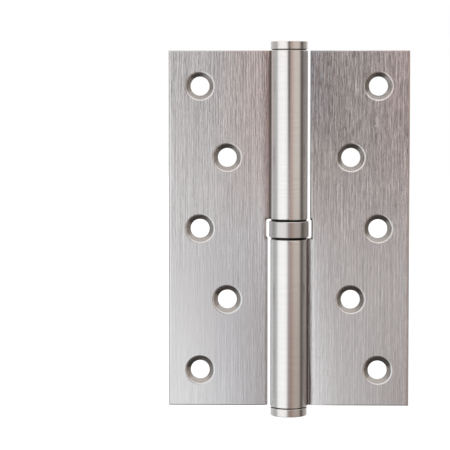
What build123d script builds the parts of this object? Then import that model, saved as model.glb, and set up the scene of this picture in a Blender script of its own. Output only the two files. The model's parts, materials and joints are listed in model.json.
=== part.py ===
from build123d import *
import math
import os

# A lift-off mortise hinge, open flat, with its leaves facing -Y and its pin along +Z.
# The origin is on the pin's axis, halfway up the leaves. All sizes are in millimetres and degrees.

# Leaves: both are the same pressing, one turned half a turn in its own plane
LEAF_HEIGHT = 120.0
OPEN_WIDTH = 81.0
SHEET = 2.5
CLOSED_GAP = 2.0
SWAGE_REACH = 2.75
SEAM_GAP = 0.25
BARREL_TO_LEAF = 0.9
SHELL_TO_LEAF = 0.95
NOTCH_CORNER = 0.6
EDGE_CHAMFER = 0.3
INNER_EDGE_ROUND = 0.4
KNUCKLE_CHAMFER = 0.2

# Countersunk screw holes: three near the outer edge and two nearer the pin
SCREW_HOLE = 6.4
COUNTERSINK = 9.0
COUNTERSINK_ANGLE = 90.0
HOLE_ROWS = 5
END_MARGIN = 12.0
OUTER_ROW_INSET = 10.5
ROW_STAGGER = 9.2

# Pin: pressed into the lower knuckle, running in the upper one
PIN_DIAMETER = 7.4
RUNNING_CLEARANCE = 0.05
PIN_STEP_DEPTH = 1.0
PIN_TO_CAP = 2.0
PIN_TIP_LENGTH = 1.6
PIN_TIP_TAPER = 1.0

# End caps: a flat disc on a short neck, with a spigot pressed into the knuckle's bore
CAP_HEIGHT = 2.65
CAP_SETBACK = 0.05
CAP_CHAMFER = 0.15
CAP_GROOVE = 0.3
CAP_GROOVE_DEPTH = 0.4
CAP_SPIGOT = 6.0

# Thrust bearing: two flat races and a ring of loose balls, closed in by a crimped shell
BALL_DIAMETER = 2.0
BALL_SIDE_GAP = 0.15
BALL_SPACING = 0.15
BALL_CLEARANCE = 0.02
BALL_SIDES = 12
BALL_BANDS = 4
RACE_RUNNING_GAP = 0.1
RACE_NECK_SETBACK = 0.8
SHELL_WALL = 0.65
SHELL_HEIGHT = 5.4
SHELL_LIP = 0.35
SHELL_LIP_GAP = 0.15
SHELL_END_GAP = 0.6
SHELL_CHAMFER = 0.2

# Radii and planes that follow from the driving dimensions
pin_radius = PIN_DIAMETER / 2
bore_radius = pin_radius + RUNNING_CLEARANCE
barrel_radius = bore_radius + SHEET
ball_radius = BALL_DIAMETER / 2
ball_circle = pin_radius + BALL_SIDE_GAP + ball_radius
shell_bore = ball_circle + ball_radius + BALL_SIDE_GAP
shell_radius = shell_bore + SHELL_WALL
neck_radius = shell_bore - RACE_NECK_SETBACK
shell_end = SHELL_HEIGHT / 2
knuckle_end = shell_end + SHELL_END_GAP
race_track = ball_radius + BALL_CLEARANCE

leaf_reach = OPEN_WIDTH / 2
leaf_top = LEAF_HEIGHT / 2
front_plane = CLOSED_GAP / 2
back_plane = front_plane + SHEET
mid_plane = front_plane + SHEET / 2
inner_edge = barrel_radius + BARREL_TO_LEAF
notch_edge = shell_radius + SHELL_TO_LEAF

# The swage is one arc of the sheet's middle line, tangent to the flat leaf and to the curl
curl_radius = bore_radius + SHEET / 2
swage_start = barrel_radius + SWAGE_REACH
swage_radius = (swage_start**2 + mid_plane**2 - curl_radius**2) / (2 * (curl_radius - mid_plane))
swage_centre = (-swage_start, mid_plane + swage_radius)
swage_turn = math.degrees(math.atan2(swage_start, mid_plane + swage_radius))

# The curl runs from the swage round the pin to a sheared end, which stops short of the swage's face
arc_centres = curl_radius + swage_radius
swage_clear = swage_radius + SHEET / 2 + SEAM_GAP
seam_cosine = (barrel_radius**2 + arc_centres**2 - swage_clear**2) / (2 * barrel_radius * arc_centres)
curl_start = 90 + swage_turn
curl_sweep = 360 - math.degrees(math.acos(seam_cosine))


def turned(*points):
    """Solid of revolution about the pin's axis, from the corners of its half section."""
    return revolve(make_face(Plane.XZ * Polyline(*points, close=True)), Axis.Z)


def knuckle_section():
    """Cross-section of the half of a leaf that is curled round the pin: one bent strip of sheet."""
    front = Line((-leaf_reach, front_plane), (-swage_start, front_plane))
    front_bend = CenterArc(swage_centre, swage_radius + SHEET / 2, -90, swage_turn)
    bore = CenterArc((0, 0), bore_radius, curl_start, -curl_sweep)
    barrel = CenterArc((0, 0), barrel_radius, curl_start - curl_sweep, curl_sweep)
    sheared_end = Line(bore @ 1, barrel @ 0)
    back_bend = CenterArc(swage_centre, swage_radius - SHEET / 2, -90 + swage_turn, -swage_turn)
    back = Line((-swage_start, back_plane), (-leaf_reach, back_plane))
    outer_edge = Line(back @ 1, front @ 0)
    return make_face([front, front_bend, bore, sheared_end, barrel, back_bend, back, outer_edge])


def free_half():
    """The flat half of a leaf, which stands beside the other leaf's knuckle."""
    plate = Box(leaf_reach - inner_edge, SHEET, leaf_top - shell_end, align=Align.MIN)
    front_edges = plate.edges().filter_by(Axis.Z).group_by(Axis.Y)[0]
    plate = fillet(front_edges.sort_by(Axis.X)[-1], INNER_EDGE_ROUND)
    return Pos(-leaf_reach, front_plane, -leaf_top) * plate


def bearing_notch():
    """Cutter that parts the knuckle from the free half and leaves room round the bearing shell."""
    step = notch_edge - inner_edge
    clear = 2 * barrel_radius
    outline = Polyline(
        (clear, -shell_end - step),
        (-inner_edge, -shell_end - step),
        (-notch_edge, -shell_end),
        (-notch_edge, knuckle_end),
        (clear, knuckle_end),
        close=True,
    )
    face = make_face(Plane.XZ * outline)
    corner = face.vertices().group_by(Axis.X)[0].sort_by(Axis.Z)[-1]
    return extrude(fillet(corner, NOTCH_CORNER), clear, both=True)


def knuckle_chamfer(end, inward):
    """Cutter that takes the outer corner off one end of the curl."""
    corners = Polyline(
        (barrel_radius, end),
        (barrel_radius - KNUCKLE_CHAMFER, end),
        (barrel_radius, end + inward * KNUCKLE_CHAMFER),
        close=True,
    )
    section = Rot(Z=curl_start - curl_sweep) * make_face(Plane.XZ * corners)
    return revolve(section, Axis.Z, curl_sweep)


def screw_holes():
    """Cutters for the screw holes of one leaf, in a zigzag of evenly spaced rows."""
    pitch = (LEAF_HEIGHT - 2 * END_MARGIN) / (HOLE_ROWS - 1)
    sink = (COUNTERSINK - SCREW_HOLE) / 2 / math.tan(math.radians(COUNTERSINK_ANGLE / 2))
    section = Polyline(
        (0, 0),
        (COUNTERSINK / 2, 0),
        (SCREW_HOLE / 2, sink),
        (SCREW_HOLE / 2, SHEET),
        (0, SHEET),
        close=True,
    )
    cutter = revolve(make_face(section), Axis.Y)
    cutters = []
    for row in range(HOLE_ROWS):
        inset = OUTER_ROW_INSET + ROW_STAGGER * (row % 2)
        height = leaf_top - END_MARGIN - row * pitch
        cutters.append(Pos(-leaf_reach + inset, front_plane, height) * cutter)
    return cutters


def door_leaf():
    """Leaf on the -X side of the pin, with its knuckle at the top."""
    blank = Pos(0, 0, -shell_end) * extrude(knuckle_section(), leaf_top + shell_end)
    blank = blank + free_half() - bearing_notch()
    front_face = blank.faces().filter_by(Axis.Y).sort_by(Axis.Y)[0]
    outer_edge = front_face.edges().sort_by(Axis.X)[0]
    end_edges = front_face.edges().filter_by(Axis.X).group_by(Axis.Z)
    blank = chamfer([outer_edge, *end_edges[0], *end_edges[-1]], EDGE_CHAMFER)
    chamfers = [knuckle_chamfer(leaf_top, -1), knuckle_chamfer(knuckle_end, 1)]
    return blank - chamfers - screw_holes()


def pivot_pin():
    """Stepped pin with a tapered tip, which guides the upper knuckle as it is lifted on."""
    end = leaf_top - CAP_SPIGOT - PIN_TO_CAP
    step = -knuckle_end - PIN_STEP_DEPTH
    return turned(
        (0, -end),
        (bore_radius, -end),
        (bore_radius, step),
        (pin_radius, step),
        (pin_radius, end - PIN_TIP_LENGTH),
        (pin_radius - PIN_TIP_TAPER, end),
        (0, end),
    )


def top_cap():
    """Cap of the upper knuckle, from the end of its spigot up to its flat face."""
    rim = barrel_radius - CAP_SETBACK
    neck = rim - CAP_GROOVE_DEPTH
    spigot_end = leaf_top - CAP_SPIGOT
    disc = leaf_top + CAP_GROOVE
    face = disc + CAP_HEIGHT
    return turned(
        (0, spigot_end),
        (bore_radius, spigot_end),
        (bore_radius, leaf_top),
        (neck, leaf_top),
        (neck, disc),
        (rim - CAP_CHAMFER, disc),
        (rim, disc + CAP_CHAMFER),
        (rim, face - CAP_CHAMFER),
        (rim - CAP_CHAMFER, face),
        (0, face),
    )


def bearing_shell():
    """Ring that shows between the knuckles, with a lip crimped in over the upper race."""
    lip = neck_radius + SHELL_LIP_GAP
    inside = shell_end - SHELL_LIP
    return turned(
        (shell_bore, -shell_end),
        (shell_radius - SHELL_CHAMFER, -shell_end),
        (shell_radius, -shell_end + SHELL_CHAMFER),
        (shell_radius, shell_end - SHELL_CHAMFER),
        (shell_radius - SHELL_CHAMFER, shell_end),
        (lip, shell_end),
        (lip, inside),
        (shell_bore, inside),
    )


def upper_race():
    """Race that turns with the door leaf: a rim under the shell's lip, a neck and a dust flange above it."""
    rim = shell_bore - RACE_RUNNING_GAP
    shoulder = shell_end - SHELL_LIP - RACE_RUNNING_GAP
    flange_face = shell_end + RACE_RUNNING_GAP
    return turned(
        (bore_radius, race_track),
        (rim, race_track),
        (rim, shoulder),
        (neck_radius, shoulder),
        (neck_radius, flange_face),
        (shell_bore, flange_face),
        (shell_bore, knuckle_end),
        (bore_radius, knuckle_end),
    )


def lower_race():
    """Race that is pressed into the shell and stands on the end of the lower knuckle."""
    return turned(
        (bore_radius, -knuckle_end),
        (shell_bore, -knuckle_end),
        (shell_bore, -race_track),
        (bore_radius, -race_track),
    )


def bearing_ball():
    """One ball at the origin, with few flats, because the ring holds many and none of them shows."""
    corners = [(0, 0, -ball_radius), (0, 0, ball_radius)]
    for band in range(1, BALL_BANDS):
        polar_angle = math.pi * band / BALL_BANDS
        ring = RegularPolygon(ball_radius * math.sin(polar_angle), BALL_SIDES)
        ring = Pos(0, 0, ball_radius * math.cos(polar_angle)) * ring
        corners += [corner.center() for corner in ring.vertices()]
    return ConvexPolyhedron(corners)


def bearing_balls():
    """Balls in a full ring, as many as the ball circle holds."""
    half_step = math.asin((BALL_DIAMETER + BALL_SPACING) / 2 / ball_circle)
    count = int(math.pi / half_step)
    return [place * bearing_ball() for place in PolarLocations(ball_circle, count)]


turned_over = Rot(Y=180)
nodes = {
    "door_leaf": door_leaf(),
    "frame_leaf": turned_over * door_leaf(),
    "pivot_pin": pivot_pin(),
    "top_cap": top_cap(),
    "bottom_cap": turned_over * top_cap(),
    "bearing_shell": bearing_shell(),
    "bearing_upper_race": upper_race(),
    "bearing_lower_race": lower_race(),
}
for number, ball in enumerate(bearing_balls(), start=1):
    nodes[f"bearing_ball_{number:02d}"] = ball

os.makedirs("parts", exist_ok=True)
for name, shape in nodes.items():
    export_step(shape, f"parts/{name}.step")
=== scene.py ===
import json
import math

import bpy
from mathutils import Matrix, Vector


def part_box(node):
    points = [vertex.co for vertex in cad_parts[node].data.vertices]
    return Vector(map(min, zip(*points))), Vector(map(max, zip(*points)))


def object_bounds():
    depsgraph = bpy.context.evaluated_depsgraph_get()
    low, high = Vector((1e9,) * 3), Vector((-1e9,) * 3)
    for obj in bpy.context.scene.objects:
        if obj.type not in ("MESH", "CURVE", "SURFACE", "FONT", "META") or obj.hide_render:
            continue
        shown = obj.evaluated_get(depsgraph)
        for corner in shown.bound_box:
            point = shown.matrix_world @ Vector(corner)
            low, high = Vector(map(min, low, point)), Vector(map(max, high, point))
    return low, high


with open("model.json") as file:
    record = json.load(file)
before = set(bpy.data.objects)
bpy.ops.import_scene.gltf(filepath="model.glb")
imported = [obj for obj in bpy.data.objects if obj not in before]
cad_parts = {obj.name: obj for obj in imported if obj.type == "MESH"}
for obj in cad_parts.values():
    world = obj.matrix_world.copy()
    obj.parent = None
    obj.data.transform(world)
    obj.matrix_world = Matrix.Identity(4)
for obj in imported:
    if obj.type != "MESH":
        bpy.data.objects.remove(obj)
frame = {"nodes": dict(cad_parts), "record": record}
cad_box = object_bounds()

# A lift-off mortise hinge in satin nickel, open flat and seen from the front. All sizes are in metres.
MM = 0.001
WHITE = (1.0, 1.0, 1.0, 1.0)

# Sizes of the hinge, read from the frame's pieces that no joint moves
LEAF_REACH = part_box("frame_leaf")[1].x
LEAF_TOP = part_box("frame_leaf")[1].z
BARREL_RADIUS = -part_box("frame_leaf")[0].x
CAP_RADIUS = -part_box("bottom_cap")[0].x
SHELL_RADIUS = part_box("bearing_shell")[1].x
SHELL_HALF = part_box("bearing_shell")[1].z

# Camera: a long lens a little above the middle, which looks slightly down
CAMERA_PLACE = (-0.0051, -0.619, 0.045)
CAMERA_AIM = (-0.02155, 0.001, 0.01035)
CAMERA_LENS_MM = 147.4
CAMERA_SENSOR_MM = 36.0
CAMERA_SHIFT_Y = -0.06

# Stage: a pale floor below the hinge and a light tent round its front, both plain
FLOOR_DROP = 0.05
FLOOR_HEIGHT = cad_box[0].z - FLOOR_DROP
FLOOR_SIZE = 6.0
FLOOR_COLOUR = (0.8, 0.8, 0.8, 1.0)
FLOOR_LIFT = 0.7
WORLD_FILL = 0.55
TENT_RADIUS = 0.7
TENT_TOP = 0.9
TENT_ABOVE_FLOOR = 0.002
TENT_SEGMENTS = 96
TENT_HALF_ANGLE = math.radians(150)
TENT_STRENGTH = 1.4
RAMP_MIDDLE = 0.5

# Above and below these heights, seen from the hinge, the tent turns pale and dark all round
HIGH_FROM = math.radians(18)
HIGH_TO = math.radians(42)
HIGH_COLOUR = (0.95, 0.92, 0.90)
LOW_FROM = math.radians(-25)
LOW_TO = math.radians(-55)
LOW_COLOUR = (0.09, 0.08, 0.075)

# From about level upwards, the light turns slightly warm
WARM_FROM = math.radians(-2)
WARM_TO = math.radians(7)
WARM_TINT = (1.0, 0.982, 0.967)

# Low down in front and to the right, the tent is darker
DIM_FROM = math.radians(-0.5)
DIM_TO = math.radians(-10.5)
DIM_TURNS = [math.radians(turn) for turn in (-18, 4, 60, 85)]
DIM_TINT = (0.68, 0.63, 0.61)

# Shade that the camera leaves in the tent
SHADE_TURN = math.radians(-1)
SHADE_HEIGHT = math.radians(8)
SHADE_CORE = math.radians(5)
SHADE_REACH = math.radians(10.5)
SHADE_LEVEL = 0.11

# Light in the tent by the angle from the viewing direction, in degrees, with the right side positive
TENT_STOPS = [
    (-150, (0.60, 0.60, 0.60)),
    (-90, (0.44, 0.44, 0.44)),
    (-80, (0.44, 0.44, 0.44)),
    (-70, (0.92, 0.92, 0.93)),
    (-40, (0.98, 0.98, 0.99)),
    (-15, (0.93, 0.93, 0.94)),
    (-4, (0.44, 0.42, 0.425)),
    (3, (0.43, 0.36, 0.345)),
    (16, (0.45, 0.335, 0.30)),
    (28, (0.57, 0.50, 0.46)),
    (36, (0.60, 0.55, 0.515)),
    (66, (0.58, 0.54, 0.51)),
    (76, (0.14, 0.12, 0.105)),
    (90, (0.07, 0.06, 0.055)),
    (102, (0.33, 0.30, 0.28)),
    (120, (0.37, 0.34, 0.32)),
    (135, (0.47, 0.45, 0.44)),
    (150, (0.60, 0.60, 0.60)),
]

# Satin nickel on the sheet: the flat leaf is brushed along the pin, the curl is polished round it
LEAF_COLOUR = (0.574, 0.571, 0.571)
LEAF_ROUGHNESS = 0.22
CURL_COLOUR = (0.67, 0.665, 0.655)
CURL_ROUGHNESS = 0.19
CURL_RADIUS = BARREL_RADIUS + 0.1 * MM
FLAT_RADIUS = BARREL_RADIUS + 0.55 * MM
SHEET_ANISOTROPY = 0.4
SHEET_ROUGHENING = 0.12

# Brush marks on the flat leaf, layer by layer: width, length, noise detail and contrast
BRUSH_LAYERS = [
    (0.2 * MM, 0.8 * MM, 0.0, 0.17),
    (0.2 * MM, 5 * MM, 1.0, 0.46),
    (0.22 * MM, 20 * MM, 1.0, 0.44),
    (0.8 * MM, 30 * MM, 2.0, 0.15),
]
BRUSH_DEPTH = 0.12 * MM
BRUSH_BUMP = 0.5
NOISE_MEAN = 0.5

# Brush marks grow stronger up the leaves, and fade round one place low on the door leaf
BRUSH_MEAN = 1.06
BRUSH_RISE = 6.8
FADE_PLACE = (-34 * MM, 0, -28 * MM)
FADE_CORE = 8 * MM
FADE_REACH = 32 * MM
FADE_SHARE = 0.62

# Fine lines round the pin's axis, on the curl, the turned pieces and the steel
LINE_SIZE = (9 * MM, 0.4 * MM)
LINE_DETAIL = 2.0
LINE_CONTRAST = 0.15
LINE_DEPTH = 0.03 * MM
LINE_BUMP = 0.1

# Cut edges of a leaf beside the barrel, and of its notch round the bearing
FREE_EDGE = BARREL_RADIUS + 0.9 * MM
NOTCH_EDGE = SHELL_RADIUS + 0.95 * MM
NOTCH_TOP = SHELL_HALF + 0.6 * MM

# Tints on the leaves: a painted warm reflection high on both leaves, a cool tint low on the door leaf, and
# painted shade, darker and cooler, beside the upper knuckle
WARM_REFLECTION_LEAF = (0.574, 0.508, 0.497)
WARM_INSET = 13 * MM
WARM_HEIGHTS = (-20 * MM, 45 * MM)
COOL_LEAF = (0.574, 0.582, 0.598)
COOL_STOPS = (-36 * MM, -14 * MM, -6 * MM, -5 * MM)
COOL_HEIGHTS = (15 * MM, -8 * MM)
# Painted shade, darker and cooler, on the frame leaf beside the upper knuckle
KNUCKLE_SHADE_LEAF = (0.478, 0.494, 0.526)
KNUCKLE_SHADE_STOPS = (6 * MM, 7 * MM, 9 * MM, 20 * MM)
KNUCKLE_SHADE_HEIGHTS = (20 * MM, 45 * MM)

# The set that pressing leaves: lean, dish, twist, the twist's growth outwards, saddle, and bow at the curl
DOOR_SET = (0.032, -0.23, 0.40, 13.0, -80.0, -0.03)
FRAME_SET = (0.0255, 0.81, -1.98, 26.5, 50.0, 0.045)
SET_FROM = BARREL_RADIUS + 0.65 * MM
BOW_FROM = 16 * MM
BOW_BLEND = 15 * MM

# Places on the sheet given painted shade: the countersinks, the cut edges, the corner by the curl and the
# inside of the curl, with the countersinks' roughness and the relief of their rims and of the rolled edges
BACK_FROM = 3.40 * MM
BACK_TO = 3.48 * MM
SUNK_RADIUS = 4.5 * MM
SUNK_BLEND = 0.05 * MM
HOLE_DIGITS = 5
# Painted shade in the countersinks: their colour is darker
SUNK_SHADE_COLOUR = (0.34, 0.32, 0.305)
SUNK_ROUGHNESS = 0.17
DISH_SLOPE = 0.17
RIM_WIDTH = 0.6 * MM
RIM_SLOPE = 0.9
# Painted shade in the corner between the curl and its own leaf
CREVICE_STOPS = [BARREL_RADIUS + step * MM for step in (-0.6, -0.25, 0.1, 0.4)]
CREVICE_SHADE_COLOUR = (0.17, 0.14, 0.125)
# Painted shade along the cut edges: a dark line of this width and share
EDGE_WIDTH = 0.35 * MM
EDGE_SHADE = 0.85
ROLL_WIDTH = 0.8 * MM
ROLL_SLOPE = 0.5
# Painted shade on the inside of the curl, nearly black
INSIDE_FROM = BARREL_RADIUS - 0.35 * MM
INSIDE_TO = BARREL_RADIUS - 0.65 * MM
INSIDE_SHADE_TONE = 0.06

# Turned nickel on the caps and the bearing shell, and steel inside
TURNED_COLOUR = (0.66, 0.645, 0.63)
TURNED_ROUGHNESS = 0.2
TURNED_ROUGHENING = 0.08
TURNED_ANISOTROPY = 0.2
# Painted shade in the groove between each cap and its knuckle, with the same dark tone as the inside of the
# curl
GROOVE_FROM = CAP_RADIUS - 0.18 * MM
GROOVE_TO = CAP_RADIUS - 0.35 * MM
GROOVE_TOP = LEAF_TOP + 0.4 * MM
FACE_TOP = LEAF_TOP + 0.6 * MM
SHELL_TOP = 5 * MM
CAP_FROM = 50 * MM
SHELL_TONE = 0.8
SHELL_ROUGHNESS = 0.23
SHELL_LINES = 0.3
STEEL_COLOUR = (0.58, 0.58, 0.59)
# Painted shade: the races inside the bearing are near black, so the gaps by the bearing shell look dark
RACE_SHADE_COLOUR = (0.012, 0.011, 0.010)
STEEL_ROUGHNESS = 0.3
STEEL_ROUGHENING = 0.12
STEEL_ANISOTROPY = 0.0

# Sockets of a Mix node that blends colours, by number because others there have the same names
MIX_FACTOR = 0
MIX_FIRST = 6
MIX_SECOND = 7
MIX_RESULT = 2


class Socket:
    """An output socket in a node tree. Arithmetic on it adds Math nodes to that tree."""

    def __init__(self, nodes, output):
        self.nodes = nodes
        self.output = output

    def __add__(self, other):
        return self.nodes.math("ADD", self, other)

    __radd__ = __add__

    def __sub__(self, other):
        return self.nodes.math("SUBTRACT", self, other)

    def __rsub__(self, other):
        return self.nodes.math("SUBTRACT", other, self)

    def __mul__(self, other):
        return self.nodes.math("MULTIPLY", self, other)

    __rmul__ = __mul__

    def __truediv__(self, other):
        return self.nodes.math("DIVIDE", self, other)

    def __neg__(self):
        return 0 - self


class Nodes:
    """The node tree of a material or of the world, emptied."""

    def __init__(self, owner):
        owner.use_nodes = True
        self.tree = owner.node_tree
        self.tree.nodes.clear()

    def add(self, kind, settings=None, sockets=None, output=0):
        """Make any node: its settings first, then the values or links of its sockets."""
        node = self.tree.nodes.new(kind)
        for name, value in (settings or {}).items():
            if name == "stops":
                set_stops(node.color_ramp, value)
            else:
                setattr(node, name, value)
        for name, value in (sockets or {}).items():
            if isinstance(value, Socket):
                self.tree.links.new(value.output, node.inputs[name])
            else:
                node.inputs[name].default_value = value
        return Socket(self, node.outputs[output]) if node.outputs else None

    def math(self, operation, *values):
        """One Math node on the given values."""
        return self.add("ShaderNodeMath", {"operation": operation}, dict(enumerate(values)))

    def hypotenuse(self, first, second):
        """Length of the hypotenuse over two sides."""
        return self.math("SQRT", first * first + second * second)

    def distance(self, first, second):
        """Distance between two places."""
        settings = {"operation": "DISTANCE"}
        return self.add("ShaderNodeVectorMath", settings, {0: first, 1: second}, output="Value")

    def ramp(self, value, start, end):
        """A smooth rise from 0 at start to 1 at end."""
        settings = {"interpolation_type": "SMOOTHSTEP"}
        return self.add("ShaderNodeMapRange", settings, {"Value": value, "From Min": start, "From Max": end})

    def hump(self, value, stops):
        """A smooth rise between the first two stops and a fall between the last two."""
        return self.ramp(value, stops[0], stops[1]) * self.ramp(value, stops[3], stops[2])


def set_stops(ramp, stops):
    """Give a colour ramp its stops, as (place, colour) pairs."""
    while len(ramp.elements) > 1:
        ramp.elements.remove(ramp.elements[-1])
    for number, (place, colour) in enumerate(stops):
        element = ramp.elements.new(place) if number else ramp.elements[0]
        element.position = place
        element.color = (*colour, 1.0)


def between(share, start, end):
    """The value that lies the given share of the way from start to end."""
    return start + share * (end - start)


def object_place(nodes):
    """The place on a piece in its own frame."""
    return nodes.add("ShaderNodeTexCoord", output="Object")


def axes(nodes, place):
    """X, Y and Z of a place."""
    return [nodes.add("ShaderNodeSeparateXYZ", sockets={0: place}, output=axis) for axis in "XYZ"]


def streaks(nodes, place, across, along, detail):
    """Noise round zero with the given size across and along the pin."""
    settings = {"vector_type": "POINT"}
    scale = (1 / across, 1 / across, 1 / along)
    stretched = nodes.add("ShaderNodeMapping", settings, {"Vector": place, "Scale": scale})
    noise = nodes.add("ShaderNodeTexNoise", sockets={"Vector": stretched, "Scale": 1.0, "Detail": detail})
    return noise - NOISE_MEAN


def turned_lines(nodes, place):
    """Fine lines round the pin's axis, as noise round zero."""
    return streaks(nodes, place, *LINE_SIZE, LINE_DETAIL)


def mixed(nodes, factor, first, second, blend="MIX"):
    """Two colours blended. A plain triple or a linked colour will do for each."""
    ends = [end if isinstance(end, Socket) else (*end, 1.0) for end in (first, second)]
    settings = {"data_type": "RGBA", "blend_type": blend}
    sockets = {MIX_FACTOR: factor, MIX_FIRST: ends[0], MIX_SECOND: ends[1]}
    return nodes.add("ShaderNodeMix", settings, sockets, output=MIX_RESULT)


def tinted(nodes, colour, tone):
    """A colour made lighter or darker by a value."""
    grey = nodes.add("ShaderNodeCombineColor", sockets={"Red": tone, "Green": tone, "Blue": tone})
    return mixed(nodes, 1.0, colour, grey, "MULTIPLY")


def bumped(nodes, height, depth=1.0, strength=1.0, under=None):
    """Surface normal over a height, in units of the depth, on the plain surface or on another bump."""
    sockets = {"Strength": strength, "Distance": depth, "Height": height}
    if under:
        sockets["Normal"] = under
    return nodes.add("ShaderNodeBump", sockets=sockets)


def finish_metal(nodes, colour, roughness, normal, anisotropy):
    """Close a metal finish with its shader and output."""
    shader = nodes.add("ShaderNodeBsdfPrincipled", sockets={
        "Base Color": colour,
        "Metallic": 1.0,
        "Roughness": roughness,
        "Anisotropic": anisotropy,
        "Normal": normal,
    })
    nodes.add("ShaderNodeOutputMaterial", sockets={"Surface": shader})


def frame_side(nodes, x):
    """One on the frame leaf and nought on the door leaf."""
    return nodes.math("GREATER_THAN", x, 0.0)


def leaf_set(nodes, x, z):
    """Height of the leaf over a true plane: its lean, dish, twist and saddle, less its bow at the curl."""
    side = nodes.math("SIGN", x)
    out = nodes.math("MAXIMUM", nodes.math("ABSOLUTE", x), SET_FROM)
    place = side * out
    on_frame = frame_side(nodes, x)
    pairs = zip(DOOR_SET, FRAME_SET)
    lean, dish, twist, growth, saddle, bow = [between(on_frame, door, other) for door, other in pairs]
    curled = nodes.ramp(z * side, BOW_BLEND, -BOW_BLEND)
    inwards = BOW_FROM - nodes.math("MINIMUM", out, BOW_FROM)
    fall = inwards * inwards * bow / (2 * (BOW_FROM - SET_FROM))
    across = lean + place * (dish + saddle * z * z)
    return place * (across + z * (twist + growth * place)) - curled * fall


def brush_strength(nodes, place, z):
    """How strongly the brush marks show."""
    near = nodes.ramp(nodes.distance(place, FADE_PLACE), FADE_REACH, FADE_CORE)
    return (BRUSH_MEAN + z * BRUSH_RISE) * (1 - FADE_SHARE * near)


def painted_warm_reflection(nodes, x, z):
    """Share of the painted warm reflection, which grows to the right and upwards on each leaf."""
    left_edge = between(frame_side(nodes, x), -LEAF_REACH, FREE_EDGE)
    rightwards = nodes.ramp(x - left_edge, WARM_INSET, LEAF_REACH - FREE_EDGE)
    return rightwards * nodes.ramp(z, *WARM_HEIGHTS)


def side_cast(nodes, x, z, stops, heights):
    """Share of a cast that lies between stops across the leaves and grows from one height to another."""
    return nodes.hump(x, stops) * nodes.ramp(z, *heights)


def crevice(nodes, x, z):
    """One in the corner between the curl and its own leaf, where painted shade goes."""
    return nodes.hump(-x * nodes.math("SIGN", z), CREVICE_STOPS)


def edge_distance(nodes, x, z):
    """Distance on the leaf from its cut edge: beside the other leaf's curl and round the notch."""
    out = nodes.math("ABSOLUTE", x)
    curled = nodes.math("LESS_THAN", z * nodes.math("SIGN", x), 0.0)
    along = nodes.math("MAXIMUM", out - FREE_EDGE, 0.0) + curled
    beside = nodes.math("MAXIMUM", out - NOTCH_EDGE, 0.0)
    above = nodes.math("MAXIMUM", nodes.math("ABSOLUTE", z) - NOTCH_TOP, 0.0)
    return nodes.math("MINIMUM", along, nodes.hypotenuse(beside, above))


def rolled(nodes, distance, width, slope):
    """Height of an edge that rolls over: flat beyond the width, and ever steeper towards the edge."""
    inwards = nodes.math("MAXIMUM", width - distance, 0.0)
    inwards = nodes.math("MINIMUM", inwards, width)
    return -(inwards * inwards * (slope / width / 2))


def hole_places():
    """The screw holes of one leaf, as (distance from the pin, height) pairs."""
    places = set()
    for mount in frame["record"]["mounts"]:
        if mount["kind"] == "bolt_pattern":
            x, _, z = mount["pos_m"]
            half = mount["dims"]["spacing_y_mm"] * MM / 2
            for step in (-half, half):
                places.add((round(abs(x), HOLE_DIGITS), round(z + step, HOLE_DIGITS)))
    return sorted(places)


def hole_distance(nodes, x, z):
    """Distance from the axis of the nearest screw hole."""
    spot = nodes.add("ShaderNodeCombineXYZ", sockets={"X": nodes.math("ABSOLUTE", x), "Z": z})
    distances = [nodes.distance(spot, (across, 0, along)) for across, along in hole_places()]
    nearest = distances[0]
    for apart in distances[1:]:
        nearest = nodes.math("MINIMUM", nearest, apart)
    return nearest


def leaf_relief(nodes, x, hole, edge):
    """Height on a leaf's front: rounded rims and dished cones at the holes, and edges that roll over."""
    dish = nodes.math("MAXIMUM", SUNK_RADIUS - hole, 0.0)
    rim = rolled(nodes, hole - SUNK_RADIUS, RIM_WIDTH, RIM_SLOPE)
    outer = LEAF_REACH - nodes.math("ABSOLUTE", x)
    return dish * DISH_SLOPE + rim + rolled(nodes, nodes.math("MINIMUM", edge, outer), ROLL_WIDTH, ROLL_SLOPE)


def leaf_scratches(nodes, place, z, flat):
    """Marks round zero: brushed along the pin on the flat leaf, polished round it on the curl."""
    layers = [streaks(nodes, place, *shape) * contrast for *shape, contrast in BRUSH_LAYERS]
    brushed = sum(layers) * brush_strength(nodes, place, z)
    polished = turned_lines(nodes, place) * LINE_CONTRAST
    return between(flat, polished, brushed)


def leaf_colour(nodes, x, z, flat, sunk, edge):
    """Colour of the sheet: the plating with its tints, and painted shade in the countersinks, along the cut
    edges and in the corner by the curl.
    """
    # Painted warm reflection high on both leaves, then a cool tint low on the door leaf
    plating_and_tints = mixed(nodes, painted_warm_reflection(nodes, x, z), LEAF_COLOUR, WARM_REFLECTION_LEAF)
    plating_and_tints = mixed(nodes, side_cast(nodes, x, z, COOL_STOPS, COOL_HEIGHTS), plating_and_tints, COOL_LEAF)
    # Painted shade on the frame leaf beside the upper knuckle
    plating_and_tints = mixed(nodes, side_cast(nodes, x, z, KNUCKLE_SHADE_STOPS, KNUCKLE_SHADE_HEIGHTS), plating_and_tints, KNUCKLE_SHADE_LEAF)
    colour = mixed(nodes, flat, CURL_COLOUR, plating_and_tints)
    # Painted shade in the countersinks
    colour = mixed(nodes, sunk, colour, SUNK_SHADE_COLOUR)
    # Painted shade along the cut edges and in the corner by the curl
    cut = flat * nodes.ramp(edge, EDGE_WIDTH, 0.0)
    painted_shade = nodes.math("MAXIMUM", crevice(nodes, x, z), cut * EDGE_SHADE)
    return mixed(nodes, painted_shade, colour, CREVICE_SHADE_COLOUR)


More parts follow.
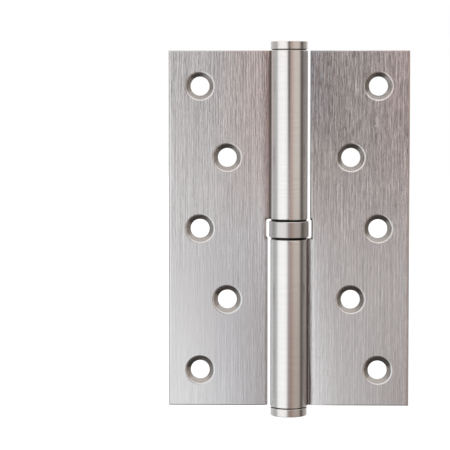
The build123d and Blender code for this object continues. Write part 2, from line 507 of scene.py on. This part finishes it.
def leaf_nickel():
    """Satin nickel of the leaves."""
    material = bpy.data.materials.new("leaf_nickel_brushed")
    nodes = Nodes(material)
    place = object_place(nodes)
    x, y, z = axes(nodes, place)
    radius = nodes.hypotenuse(x, y)
    flat = nodes.ramp(radius, CURL_RADIUS, FLAT_RADIUS)
    inside = nodes.ramp(radius, INSIDE_FROM, INSIDE_TO)
    front = nodes.ramp(y, BACK_TO, BACK_FROM)
    hole = hole_distance(nodes, x, z)
    sunk = front * nodes.ramp(hole, SUNK_RADIUS + SUNK_BLEND, SUNK_RADIUS - SUNK_BLEND)
    edge = edge_distance(nodes, x, z)
    scratches = leaf_scratches(nodes, place, z, flat)
    colour = leaf_colour(nodes, x, z, flat, sunk, edge)
    # Painted shade on the inside of the curl
    tone = (1 + scratches) * between(inside, 1, INSIDE_SHADE_TONE)
    roughness = between(flat, CURL_ROUGHNESS, LEAF_ROUGHNESS) + scratches * SHEET_ROUGHENING
    roughness = roughness + sunk * (SUNK_ROUGHNESS - LEAF_ROUGHNESS)
    uneven = bumped(nodes, leaf_set(nodes, x, z) + front * leaf_relief(nodes, x, hole, edge))
    normal = bumped(nodes, scratches, BRUSH_DEPTH, BRUSH_BUMP, uneven)
    finish_metal(nodes, tinted(nodes, colour, tone), roughness, normal, SHEET_ANISOTROPY)
    return material


def turned_nickel():
    """Satin nickel of the turned caps and the bearing shell."""
    material = bpy.data.materials.new("turned_nickel_satin")
    nodes = Nodes(material)
    place = object_place(nodes)
    x, y, z = axes(nodes, place)
    height = nodes.math("ABSOLUTE", z)
    # Painted shade in the groove between each cap and its knuckle
    groove = nodes.ramp(nodes.hypotenuse(x, y), GROOVE_FROM, GROOVE_TO)
    groove = groove * nodes.ramp(height, FACE_TOP, GROOVE_TOP)
    shell = nodes.ramp(height, CAP_FROM, SHELL_TOP)
    lines = turned_lines(nodes, place) * between(shell, 1, SHELL_LINES)
    tone = (1 + lines * LINE_CONTRAST) * between(groove, 1, INSIDE_SHADE_TONE) * between(shell, 1, SHELL_TONE)
    roughness = between(shell, TURNED_ROUGHNESS, SHELL_ROUGHNESS) + lines * TURNED_ROUGHENING
    normal = bumped(nodes, lines, LINE_DEPTH, LINE_BUMP)
    finish_metal(nodes, tinted(nodes, TURNED_COLOUR, tone), roughness, normal, TURNED_ANISOTROPY)
    return material


def ground_steel(name, metal):
    """Steel ground round the pin's axis."""
    material = bpy.data.materials.new(name)
    nodes = Nodes(material)
    place = object_place(nodes)
    lines = turned_lines(nodes, place)
    colour = tinted(nodes, metal, 1 + lines * LINE_CONTRAST)
    roughness = STEEL_ROUGHNESS + lines * STEEL_ROUGHENING
    normal = bumped(nodes, lines, LINE_DEPTH, LINE_BUMP)
    finish_metal(nodes, colour, roughness, normal, STEEL_ANISOTROPY)
    return material


def light_paths(nodes):
    """One for rays that show the background: seen directly, in metal or through glass."""
    kinds = ("Is Camera Ray", "Is Glossy Ray", "Is Transmission Ray")
    shown = sum(nodes.add("ShaderNodeLightPath", output=kind) for kind in kinds)
    return nodes.add("ShaderNodeClamp", sockets={"Value": shown})


def white_world():
    """White background, and an even grey fill for the floor."""
    world = bpy.data.worlds.new("studio")
    bpy.context.scene.world = world
    nodes = Nodes(world)
    fill = nodes.add("ShaderNodeBackground", sockets={"Color": WHITE, "Strength": WORLD_FILL})
    white = nodes.add("ShaderNodeBackground", sockets={"Color": WHITE, "Strength": 1.0})
    both = nodes.add("ShaderNodeMixShader", sockets={0: light_paths(nodes), 1: fill, 2: white})
    nodes.add("ShaderNodeOutputWorld", sockets={"Surface": both})


def edit_faces(piece, chosen):
    """Go into edit mode with only the chosen faces selected."""
    bpy.ops.object.mode_set(mode="EDIT")
    bpy.ops.mesh.select_mode(type="FACE")
    bpy.ops.mesh.select_all(action="DESELECT")
    bpy.ops.object.mode_set(mode="OBJECT")
    for face in piece.data.polygons:
        face.select = chosen(face)
    bpy.ops.object.mode_set(mode="EDIT")


def stage_piece(name):
    """The object that an operator has just made, as part of the stage."""
    piece = bpy.context.object
    piece.name = name
    return piece


def floor_white():
    """White of the floor, which keeps a soft shadow."""
    material = bpy.data.materials.new("floor_white")
    nodes = Nodes(material)
    surface = nodes.add("ShaderNodeBsdfDiffuse", sockets={"Color": FLOOR_COLOUR})
    strength = light_paths(nodes) * FLOOR_LIFT
    lift = nodes.add("ShaderNodeEmission", sockets={"Color": WHITE, "Strength": strength})
    both = nodes.add("ShaderNodeAddShader", sockets={0: surface, 1: lift})
    nodes.add("ShaderNodeOutputMaterial", sockets={"Surface": both})
    return material


def pale_floor():
    """A wide floor below the hinge."""
    bpy.ops.object.select_all(action="DESELECT")
    bpy.ops.mesh.primitive_plane_add(size=FLOOR_SIZE, location=(0, 0, FLOOR_HEIGHT))
    floor = stage_piece("floor")
    floor.data.materials.append(floor_white())


def turn_share(angle):
    """An angle from the viewing direction as a place on a colour ramp, with no turn at its middle."""
    return angle / math.tau + RAMP_MIDDLE


def shade_left(nodes, angle, height):
    """Share of the light that the camera's shade leaves."""
    apart = nodes.hypotenuse(angle - SHADE_TURN, height - SHADE_HEIGHT)
    return between(nodes.ramp(apart, SHADE_CORE, SHADE_REACH), SHADE_LEVEL, 1)


def tent_light():
    """Light of the tent: bright and dark stretches round the hinge, which change with height."""
    material = bpy.data.materials.new("tent_light")
    nodes = Nodes(material)
    x, y, z = axes(nodes, object_place(nodes))
    angle = nodes.math("ARCTAN2", x, -y)
    height = nodes.math("ARCTAN2", z, nodes.hypotenuse(x, y))
    stops = [(turn_share(math.radians(degrees)), colour) for degrees, colour in TENT_STOPS]
    colour = nodes.add("ShaderNodeValToRGB", {"stops": stops}, {0: turn_share(angle)})
    colour = mixed(nodes, nodes.ramp(height, WARM_FROM, WARM_TO), colour, WARM_TINT, "MULTIPLY")
    dim = nodes.ramp(height, DIM_FROM, DIM_TO) * nodes.hump(angle, DIM_TURNS)
    colour = mixed(nodes, dim, colour, DIM_TINT, "MULTIPLY")
    colour = mixed(nodes, nodes.ramp(height, HIGH_FROM, HIGH_TO), colour, HIGH_COLOUR)
    colour = mixed(nodes, nodes.ramp(height, LOW_FROM, LOW_TO), colour, LOW_COLOUR)
    strength = TENT_STRENGTH * shade_left(nodes, angle, height)
    glow = nodes.add("ShaderNodeEmission", sockets={"Color": colour, "Strength": strength})
    nodes.add("ShaderNodeOutputMaterial", sockets={"Surface": glow})
    return material


def light_tent():
    """A glowing screen round the front, unseen by the camera."""
    bpy.ops.object.select_all(action="DESELECT")
    bottom = FLOOR_HEIGHT + TENT_ABOVE_FLOOR
    bpy.ops.mesh.primitive_cylinder_add(
        vertices=TENT_SEGMENTS,
        radius=TENT_RADIUS,
        depth=TENT_TOP - bottom,
        end_fill_type="TRIFAN",
        location=(0, 0, (TENT_TOP + bottom) / 2),
    )
    tent = stage_piece("light_tent")
    bpy.ops.object.transform_apply(location=True)
    edit_faces(tent, lambda face: abs(math.atan2(face.center.x, -face.center.y)) > TENT_HALF_ANGLE)
    bpy.ops.mesh.delete(type="FACE")
    bpy.ops.object.mode_set(mode="OBJECT")
    tent.visible_camera = False
    tent.visible_diffuse = False
    tent.visible_shadow = False
    tent.data.materials.append(tent_light())


def main_camera():
    """The camera of the photograph's view."""
    data = bpy.data.cameras.new("main_camera")
    data.lens = CAMERA_LENS_MM
    data.sensor_width = CAMERA_SENSOR_MM
    data.shift_y = CAMERA_SHIFT_Y
    camera = bpy.data.objects.new("main_camera", data)
    bpy.context.scene.collection.objects.link(camera)
    place = Vector(CAMERA_PLACE)
    camera.location = place
    camera.rotation_mode = "QUATERNION"
    camera.rotation_quaternion = (Vector(CAMERA_AIM) - place).to_track_quat("-Z", "Y")
    bpy.context.scene.camera = camera


finishes = {
    "leaf_nickel": leaf_nickel(),
    "turned_nickel": turned_nickel(),
    "bare_steel": ground_steel("bare_steel_ground", STEEL_COLOUR),
}
# The races get near black steel, painted shade in the gaps by the bearing shell
race_shade = ground_steel("bare_steel_shade_black", RACE_SHADE_COLOUR)
for part in frame["record"]["subparts"]:
    slot = frame["nodes"][part["node"]].material_slots[0]
    slot.material = race_shade if "race" in part["node"] else finishes[part["material_slot"]]

white_world()
pale_floor()
light_tent()
main_camera()
bpy.context.scene.view_settings.view_transform = "Standard"
